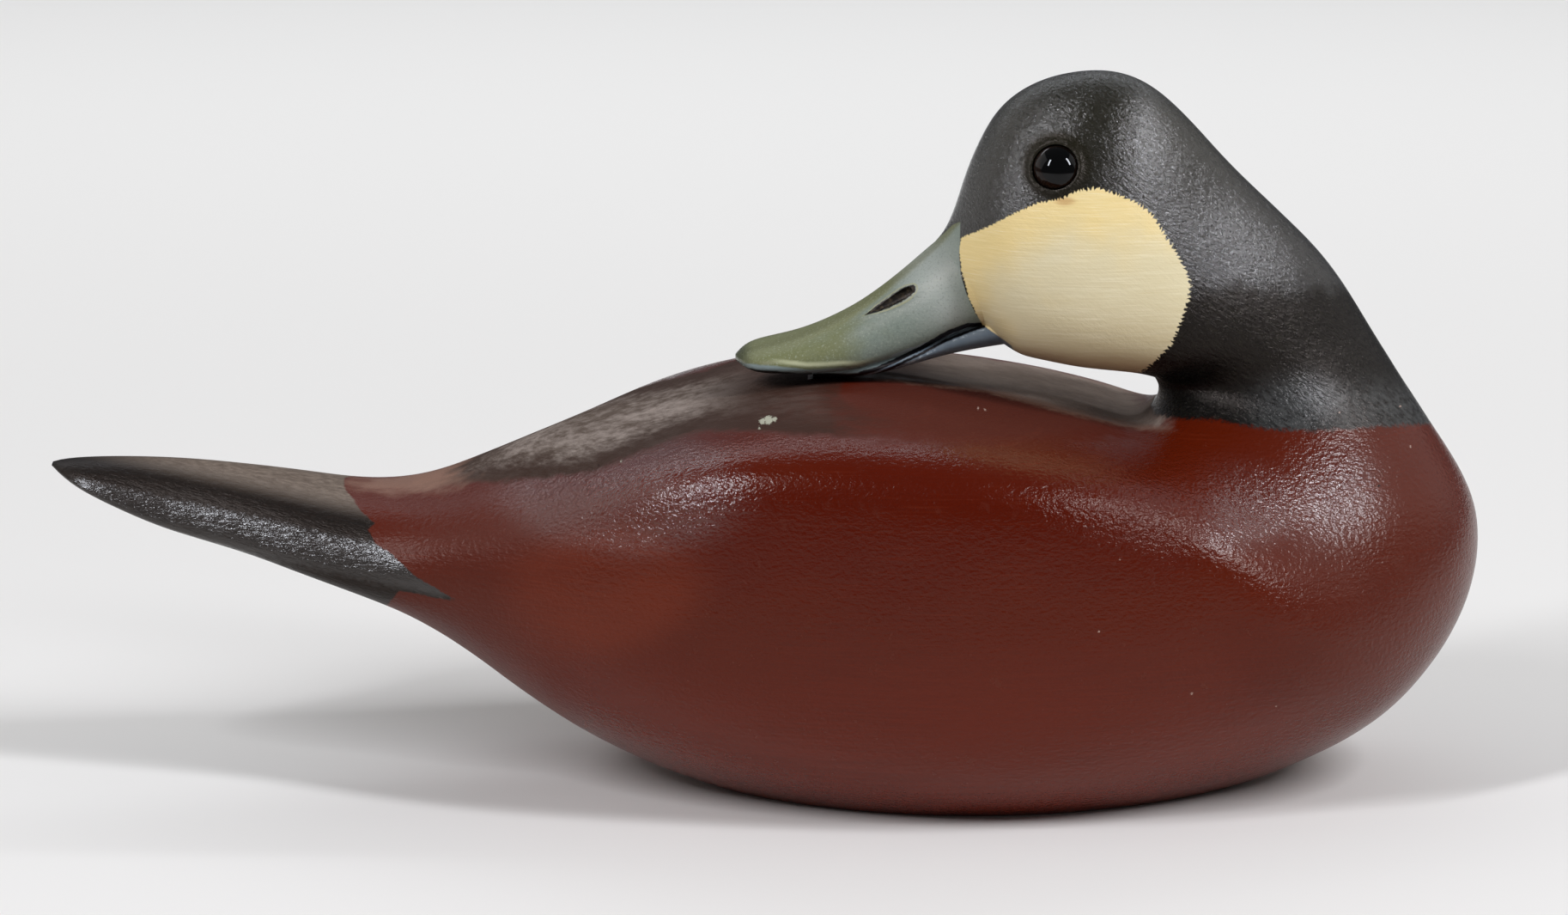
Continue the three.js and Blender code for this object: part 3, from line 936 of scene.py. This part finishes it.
def bill_paint(paint):
    """Olive along the ridge and tip, blue-grey on the sides, lighter at the root, dark mouth line."""
    mottle = paint.grain(paint.scaled(1.1, 1.1, 1.1), 1, 3, 0.6)
    fine = paint.grain(paint.scaled(2.2, 2.2, 2.2), 1, 3, 0.7)
    cloud = paint.grain(paint.scaled(0.16, 0.16, 0.16), 1, 3)
    olive = paint.add(paint.step(paint.across, 1075, 915), paint.step(paint.field("culmen"), 17, 3))
    olive = paint.add(olive, cloud, 0.8)
    tone = paint.mix(paint.step(olive, 0.1, 1), "bill_green", "bill_olive")
    grey = paint.add(paint.spot("bill_root"), paint.spot("bill_corner"), 0.5)
    tone = paint.mix(grey, tone, "bill_grey", 0.95)
    ridge = paint.add(paint.size(paint.add(paint.field("culmen"), -7)), mottle, 4)
    tone = paint.mix(paint.step(ridge, 5, 1), tone, "bill_ridge", 0.35)
    tone = paint.mix(paint.step(fine, 0.02, 0.3), tone, "bill_fleck_light", 0.7)
    tone = paint.mix(paint.step(fine, -0.02, -0.3), tone, "bill_fleck_dark", 0.6)
    edge = paint.add(paint.field("bill_edge"), cloud, 6)
    tone = paint.mix(paint.step(edge, 1, 4), tone, "bill_edge")
    # A painted highlight: a short light line along the bill's lower edge.
    edge_highlight = paint.step(paint.size(paint.add(edge, 3)), 4.5, 0)
    short = paint.times(paint.step(paint.across, 1030, 980), paint.step(paint.across, 890, 930))
    tone = paint.mix(paint.times(edge_highlight, short), tone, "bill_edge_highlight", 0.7)
    # Near black where the bill lies on the back: partly the mouth line's black paint carried on, partly
    # painted shade.
    under = paint.times(paint.step(edge, 6.5, 9), paint.step(paint.across, 1020, 1005))
    tone = paint.mix(under, tone, "bill_line_and_shade")
    nail = paint.add(paint.across, mottle, 12)
    tone = paint.mix(paint.step(nail, 880, 860), tone, "bill_nail", 0.7)
    # A painted highlight: a lighter ring on the nostril's raised rim.
    rim = paint.size(paint.add(paint.field("nostril"), -1.42))
    tone = paint.mix(paint.step(rim, 0.3, 0.05), tone, "nostril_edge_highlight", 0.6)
    below = paint.times(paint.step(paint.field("mouth_upper"), -1, 2), paint.step(paint.across, 1000, 1012))
    blue = paint.mix(paint.step(cloud, -0.2, 0.2), "lower_bill_dark", "lower_bill_light")
    tone = paint.mix(below, tone, blue)
    worn = paint.size(paint.add(paint.field("mouth_lower"), paint.add(paint.times(mottle, 3), -4)))
    worn = paint.times(paint.step(worn, 1.6, 0.4), paint.step(mottle, -0.05, 0.15))
    worn = paint.times(worn, paint.step(paint.across, 1030, 1045))
    tone = paint.mix(worn, tone, "mouth_worn")
    wavy = paint.times(mottle, 2.5)
    for name, half, start, end in (("mouth_upper", 2.4, 1000, 1149), ("mouth_lower", 1.5, 1018, 1149)):
        line = paint.step(paint.size(paint.add(paint.field(name), wavy)), half + 0.7, half - 0.5)
        line = paint.times(line, paint.step(paint.across, start - 2, start + 2))
        line = paint.times(line, paint.step(paint.across, end + 2, end - 2))
        tone = paint.mix(line, tone, "mouth_line")
    # Painted shade: near black and brown inside the nostril's hollow.
    hole = paint.step(paint.add(paint.field("nostril"), mottle, 0.7), 1.25, 0.95)
    inside = paint.mix(paint.step(mottle, -0.05, 0.2), "nostril_shade_black", "nostril_shade_brown")
    return paint.mix(hole, tone, inside)


def marked(paint, tone):
    """The tone with its chips, specks and pits."""
    ragged = paint.times(paint.grain(paint.scaled(1.2, 1.2, 3.2), 1, 4, 0.75), 9)
    for across, down, reach, name in MARKS:
        spot = paint.times(paint.mark(across, down, reach, ragged), paint.field("left"))
        tone = paint.mix(spot, tone, name)
    return tone


def cheek_mask(paint, speck):
    """1 on the cheek, with a toothed edge as short brush strokes leave it, longest towards the neck."""
    x = paint.add(paint.across, -1240)
    y = paint.add(paint.down, -330)
    teeth = paint.grain(paint.scaled(0.5, 0.5, 0.5), 1, 2, 0.6)
    angle = paint.add(paint.times(paint.calc("ARCTAN2", y, x), 24), teeth, 3)
    tooth = paint.add(paint.calc("PINGPONG", angle, 0.5), -0.2)
    length = paint.blend(paint.step(paint.across, 1118, 1320), 2.5, 9.0)
    length = paint.times(length, paint.add(paint.times(teeth, 1.6), 1))
    edge = paint.add(paint.field("cheek"), paint.times(tooth, length))
    return paint.step(paint.add(edge, speck, 3), -0.9, 0.9)


def varnish_mask(paint):
    """1 where the red is varnished most."""
    varnish = paint.most(paint.spot("varnish_bulge"), paint.spot("varnish_flank"))
    varnish = paint.most(varnish, paint.times(paint.spot("varnish_breast"), 0.4))
    return paint.step(varnish, 0.0, 0.45)


def coat_weight(paint, speck, drift, varnish, masks):
    """How glossy the coat is: most on the nape, along the tail's side and on the varnished red."""
    band = paint.add(paint.down, paint.across, TAIL_FALL)
    band = paint.add(band, speck, 14)
    band = paint.times(paint.step(band, 533, 543), paint.step(band, 588, 574))
    nape = paint.add(paint.down, drift, 40)
    nape = paint.most(paint.step(nape, 352, 318), paint.spot("glossy_neck"))
    glossy = paint.most(paint.times(masks["tail"], band), paint.times(masks["black"], nape))
    bare = paint.without(paint.most(paint.most(masks["back"], masks["black"]), masks["tail"]))
    glossy = paint.most(glossy, paint.times(varnish, bare))
    foot = paint.times(paint.step(paint.across, 1440, 1385), paint.step(paint.across, 900, 950))
    foot = paint.times(foot, paint.step(paint.down, 425, 455))
    dull = paint.most(paint.most(masks["cheek"], masks["bill"]), foot)
    dull = paint.most(dull, paint.step(paint.spot("round_eye"), 0.0, 0.25))
    return paint.times(glossy, paint.without(dull))


def fine_bumps(paint, speck, varnish, masks):
    """Level brush strokes under the paint's own pits, which lean with the head and the tail."""
    strokes = paint.grain(paint.scaled(0.16, 0.16, 2.2), 1, 3, 0.6)
    normal = paint.bump(strokes, STROKE_HEIGHT)
    peel = paint.grain(paint.scaled(0.85, 0.85, 1.25), 1, 2, 0.6)
    fur = paint.times(paint.grain(paint.turned(HEAD_LEAN, 0.5, 0.9, 1.5), 1, 3, 0.75), 1.15)
    feather = paint.grain(paint.turned(TAIL_LEAN, 0.3, 0.6, 1.4), 1, 3, 0.7)
    peel = paint.times(paint.add(peel, speck, 0.3), paint.blend(varnish, 0.8, 1.5))
    pitted = paint.blend(masks["tail"], paint.blend(masks["black"], peel, fur), feather)
    smooth = paint.most(masks["cheek"], masks["bill"])
    pitted = paint.times(pitted, paint.blend(smooth, 1.0, 0.25))
    return paint.bump(pitted, PITTED_HEIGHT, normal)


def wood_material():
    """The whole skin's paint, one colour laid over another as the fields say."""
    paint = Paint("painted_wood")
    speck = paint.grain(paint.scaled(1, 1, 1), 1.1, 3, 0.6)
    drift = paint.grain(paint.scaled(0.25, 0.25, 0.25), 1, 3)
    masks = {}
    tone = red_paint(paint)
    rough = paint.blend(paint.step(paint.across, 700, 640), ROUGHNESS["red"], ROUGHNESS["red_rump"])

    fade = paint.add(paint.across, drift, 120)
    fade = paint.most(paint.step(fade, 1060, 950), paint.step(paint.field("strip"), 2, -2))
    edge = paint.add(paint.field("back"), paint.add(paint.times(drift, 12), speck, 4))
    back = paint.times(paint.step(edge, -4, 6), fade)
    tip = paint.add(paint.across, drift, 60)
    masks["back"] = paint.times(back, paint.step(tip, 1378, 1340))
    tone = paint.mix(masks["back"], tone, back_paint(paint))
    rough = paint.blend(masks["back"], rough, ROUGHNESS["back"])

    # Painted shade: darker red-brown below the grey strip beside the neck, and rougher there.
    shade_patch = paint.add(paint.spot("shade_patch"), drift, 0.4)
    shade_patch = paint.times(paint.step(shade_patch, 0.0, 0.6), paint.step(paint.field("strip"), -2, 3))
    tone = paint.mix(shade_patch, tone, "shade_patch", 0.65)
    rough = paint.blend(shade_patch, rough, ROUGHNESS["shade_patch"])

    tan = paint.add(paint.spot("tan"), drift, 0.7)
    tan = paint.times(paint.step(tan, 0.1, 0.8), paint.step(paint.field("tail"), 2, -2))
    tone = paint.mix(tan, tone, "tan", 0.9)
    # A painted highlight: a light tan line along the ridge at the grey strip's edge.
    ridge = paint.add(paint.field("ridge"), paint.add(paint.times(drift, 8), speck, 5))
    ridge = paint.step(paint.size(ridge), 6, 0)
    ridge = paint.times(ridge, paint.step(paint.across, 1375, 1320))
    ridge = paint.times(ridge, paint.step(paint.field("black"), 0, -12))
    tone = paint.mix(ridge, tone, "ridge", 0.7)

    edge = paint.add(paint.field("tail"), paint.add(paint.times(drift, 4), speck, 4))
    masks["tail"] = paint.step(edge, -1.2, 1.2)
    hair = paint.grain(paint.scaled(1.6, 1.6, 0.2), 1, 2)
    edge = paint.add(paint.field("black"), paint.add(paint.times(hair, 12), speck, 3))
    masks["black"] = paint.step(edge, -3, 4)
    masks["cheek"] = cheek_mask(paint, speck)
    masks["bill"] = paint.step(paint.add(paint.field("bill"), drift, 2), -0.8, 0.8)
    layers = (("tail", tail_paint), ("black", black_paint), ("cheek", cheek_paint), ("bill", bill_paint))
    for name, layer in layers:
        tone = paint.mix(masks[name], tone, layer(paint))
        rough = paint.blend(masks[name], rough, ROUGHNESS[name])
    nail = paint.times(masks["bill"], paint.step(paint.across, 872, 858))
    rough = paint.blend(nail, rough, ROUGHNESS["nail"])

    varnish = varnish_mask(paint)
    normal = fine_bumps(paint, speck, varnish, masks)
    paint.put(paint.shader.inputs["Base Color"], marked(paint, tone))
    paint.put(paint.shader.inputs["Roughness"], paint.add(rough, speck, 0.12))
    paint.put(paint.shader.inputs["Coat Weight"], coat_weight(paint, speck, drift, varnish, masks))
    paint.put(paint.shader.inputs["Normal"], normal)
    paint.put(paint.shader.inputs["Coat Normal"], normal)
    paint.shader.inputs["Coat Roughness"].default_value = ROUGHNESS["coat"]
    paint.shader.inputs["Specular IOR Level"].default_value = 0.26
    paint.shader.inputs["Specular Tint"].default_value = (1, 0.84, 0.74, 1)
    return paint.material


def eye_object(name, side):
    """A glass dome with a flat, bevelled back."""
    dome = (EYE_RADIUS**2 + EYE_RISE**2) / (2 * EYE_RISE)
    widest = math.asin(EYE_RADIUS / dome)
    profile = [(EYE_RADIUS - EYE_BEVEL, -EYE_DEPTH), (EYE_RADIUS, -EYE_DEPTH + EYE_BEVEL)]
    for i in range(EYE_RINGS):
        angle = widest * (1 - i / EYE_RINGS)
        profile.append((dome * math.sin(angle), EYE_RISE - dome + dome * math.cos(angle)))
    sides = EYE_SIDES
    verts = [(0, 0, -EYE_DEPTH)]
    for radius, height in profile:
        for i in range(sides):
            angle = 2 * math.pi * i / sides
            verts.append((radius * math.cos(angle), radius * math.sin(angle), height))
    verts.append((0, 0, EYE_RISE))
    faces = [(0, 1 + (i + 1) % sides, 1 + i) for i in range(sides)]
    for row in range(len(profile) - 1):
        for i in range(sides):
            here = 1 + row * sides + i
            beside = 1 + row * sides + (i + 1) % sides
            faces.append((here, beside, beside + sides, here + sides))
    last = 1 + (len(profile) - 1) * sides
    faces += [(last + i, last + (i + 1) % sides, len(verts) - 1) for i in range(sides)]
    mesh = bpy.data.meshes.new(name)
    mesh.from_pydata(verts, [], faces)
    mesh.update()
    points = read_points(mesh)
    place = np.array(eye_place(side))
    write_points(mesh, points @ place[:3, :3].T + place[:3, 3])
    return new_object(name, mesh)


def eye_material():
    """Smooth dark glass with a black pupil in a brown iris."""
    paint = Paint("glass_eye")
    brown = paint.grain(paint.scaled(1, 1, 1), 2, 3)
    iris = paint.mix(paint.step(brown, -0.2, 0.2), "iris_dark", "iris_light")
    tone = paint.mix(paint.step(paint.field("pupil"), PUPIL_EDGE, PUPIL_RADIUS), iris, "pupil")
    paint.put(paint.shader.inputs["Base Color"], tone)
    paint.shader.inputs["Roughness"].default_value = ROUGHNESS["glass"]
    paint.shader.inputs["IOR"].default_value = 1.5
    paint.shader.inputs["Specular IOR Level"].default_value = 0.22
    return paint.material


def make_floor():
    """A wide, level, pale sheet under the duck."""
    mesh = bpy.data.meshes.new("floor")
    corners = [(x * FLOOR_REACH, y * FLOOR_REACH, 0) for x, y in ((-1, -1), (1, -1), (1, 1), (-1, 1))]
    mesh.from_pydata(corners, [], [(0, 1, 2, 3)])
    mesh.update()
    paper = Paint("floor_paper")
    paper.shader.inputs["Base Color"].default_value = colour(*TONES["floor_paper"])
    paper.shader.inputs["Roughness"].default_value = ROUGHNESS["floor"]
    mesh.materials.append(paper.material)
    new_object("floor", mesh)


def add_light(name, azimuth, height, size, power, distance, tint, aim=(0, 0, 0.07)):
    """A rectangular soft light round the duck, azimuth 0 at the camera and 90 at the chest."""
    turn = math.radians(azimuth)
    rise = math.radians(height)
    out = Vector((math.sin(turn) * math.cos(rise), -math.cos(turn) * math.cos(rise), math.sin(rise)))
    lamp = bpy.data.lights.new(name, "AREA")
    lamp.shape = "RECTANGLE"
    lamp.size, lamp.size_y = size
    lamp.energy = power
    lamp.color = tint
    made = bpy.data.objects.new(name, lamp)
    made.location = Vector(aim) + out * distance
    made.rotation_mode = "QUATERNION"
    made.rotation_quaternion = (-out).to_track_quat("-Z", "Y")
    bpy.context.scene.collection.objects.link(made)


# Each light's name, azimuth, height, size, power, distance, tint, and what it is aimed at if not the duck.
LIGHTS = (
    ("left_softbox", -46, 40, (0.14, 0.6), 11.4, 1.4, (0.88, 0.92, 1)),
    ("right_softbox", 59, 40, (0.15, 0.64), 13.0, 1.4, (0.88, 0.92, 1)),
    ("left_panel", -100, 30, (1.3, 1.1), 3.3, 1.4, (1, 1, 1)),
    ("right_panel", 100, 30, (1.3, 1.1), 3.3, 1.4, (1, 1, 1)),
    ("backdrop_light", 0, 60, (2.2, 0.3), 15.6, 1.3, (0.88, 0.93, 1), (0, 1.6, 0)),
)


def make_camera(shift):
    """The photograph's view, moved along with the duck by its shift into the part's frame."""
    camera = bpy.data.cameras.new("camera")
    made = bpy.data.objects.new("camera", camera)
    made.location = (Vector(PICTURE_TARGET) - Vector(LOOK) * CAMERA_DISTANCE) * MM + Vector((shift, 0, 0))
    made.rotation_mode = "QUATERNION"
    made.rotation_quaternion = Vector(LOOK).to_track_quat("-Z", "Y")
    camera.sensor_width = SENSOR
    camera.lens = SENSOR * CAMERA_DISTANCE / (PICTURE_WIDTH * PICTURE_SCALE)
    bpy.context.scene.collection.objects.link(made)
    bpy.context.scene.camera = made


duck, duck_points, duck_part, duck_place = make_skin()
add_fields(duck.data, paint_fields(duck_points, duck_part, duck_place))
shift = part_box("carving")[0].x - duck_points[:, 0].min() * MM
write_points(duck.data, duck_points * MM + (shift, 0, 0))
duck.data.shade_smooth()
duck.data.set_sharp_from_angle(angle=SHARP_ANGLE)
duck.data.materials.clear()
duck.data.materials.append(wood_material())
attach(duck, "root")
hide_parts("carving")

glass = eye_material()
for node, side in (("eye_left", -1), ("eye_right", 1)):
    eye = eye_object(node + "_glass", side)
    points = read_points(eye.data)
    pupil = (EYE_CENTRE[0] + PUPIL_SHIFT[0], EYE_CENTRE[2] + PUPIL_SHIFT[1])
    add_fields(eye.data, {"pupil": np.hypot(points[:, 0] - pupil[0], points[:, 2] - pupil[1])})
    write_points(eye.data, points * MM + (shift, 0, 0))
    eye.data.shade_smooth()
    eye.data.set_sharp_from_angle(angle=SHARP_ANGLE)
    eye.data.materials.append(glass)
    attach(eye, "root")
    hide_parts(node)

make_floor()
for light in LIGHTS:
    add_light(*light)
world = bpy.data.worlds.new("room")
bpy.context.scene.world = world
world.use_nodes = True
world.node_tree.nodes["Background"].inputs["Color"].default_value = WORLD_COLOUR
world.node_tree.nodes["Background"].inputs["Strength"].default_value = WORLD_STRENGTH
bpy.context.scene.view_settings.view_transform = "Standard"
make_camera(shift)
